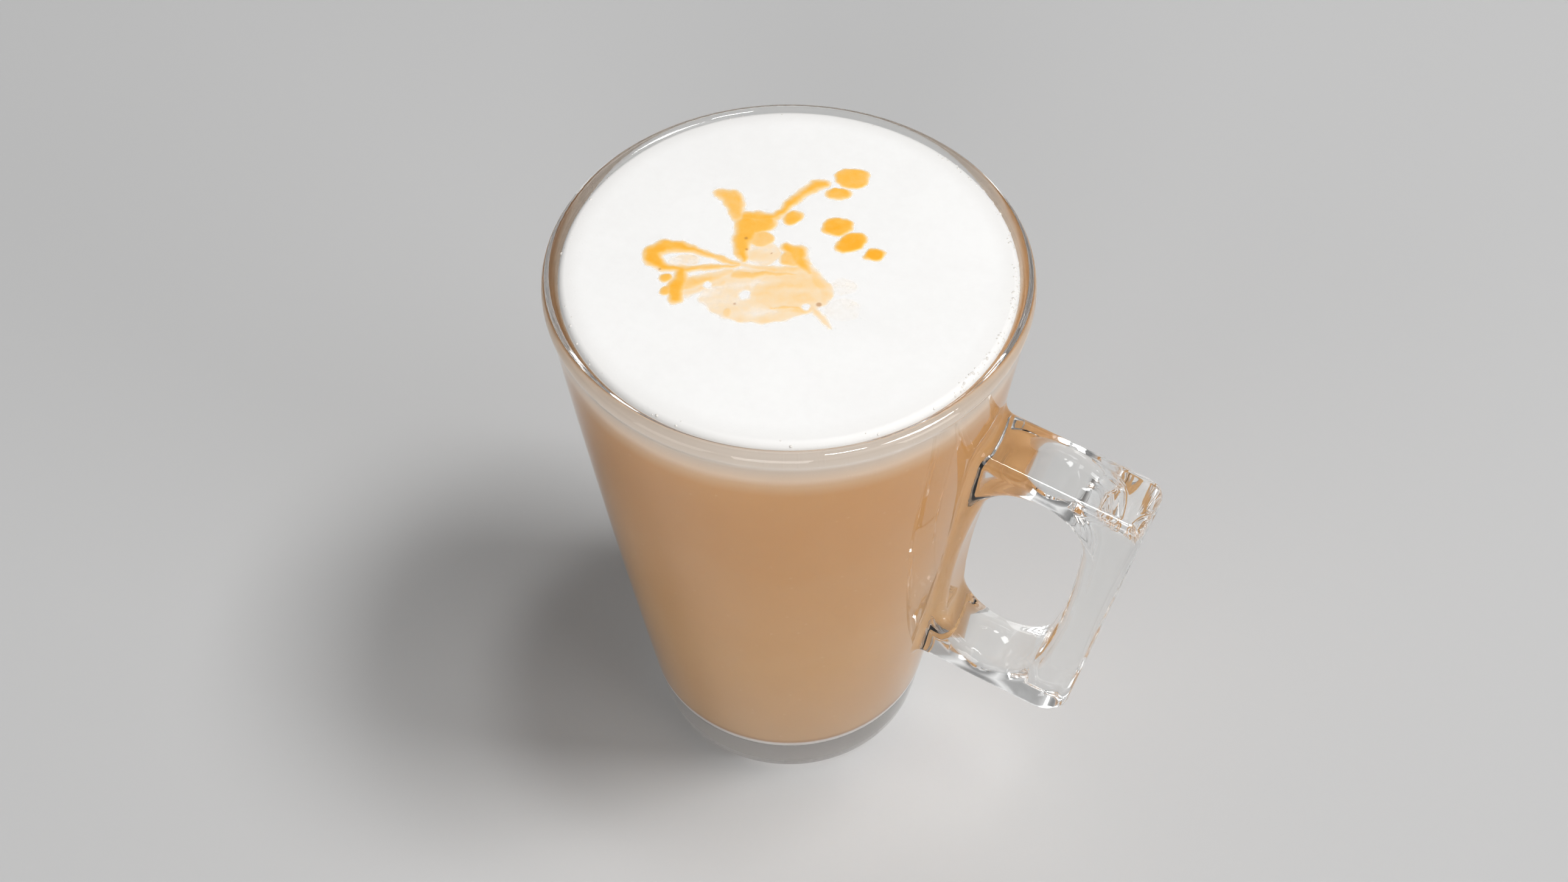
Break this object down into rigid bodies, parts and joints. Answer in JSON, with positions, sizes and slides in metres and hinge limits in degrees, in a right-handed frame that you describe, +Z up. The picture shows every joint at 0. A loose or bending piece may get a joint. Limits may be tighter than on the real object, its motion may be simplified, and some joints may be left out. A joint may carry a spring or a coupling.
{
  "type": "latte",
  "caption": "Latte in a tall tapered glass mug with a square pressed-glass handle: milky coffee under a thick layer of milk foam.",
  "frame": {"origin": "centre of the base, on the surface that the mug stands on", "axes": "+Z up through the mouth, +X through the handle, +Y across it"},
  "size_m": [0.1114, 0.084, 0.121],
  "materials": {
    "glass": "smooth clear pressed glass",
    "coffee": "milky coffee, smooth where it meets the glass",
    "foam": "fine dense milk foam"
  },
  "bodies": {
    "root": {"glass": "glass", "coffee": "coffee", "foam": "foam"}
  },
  "joints": []
}
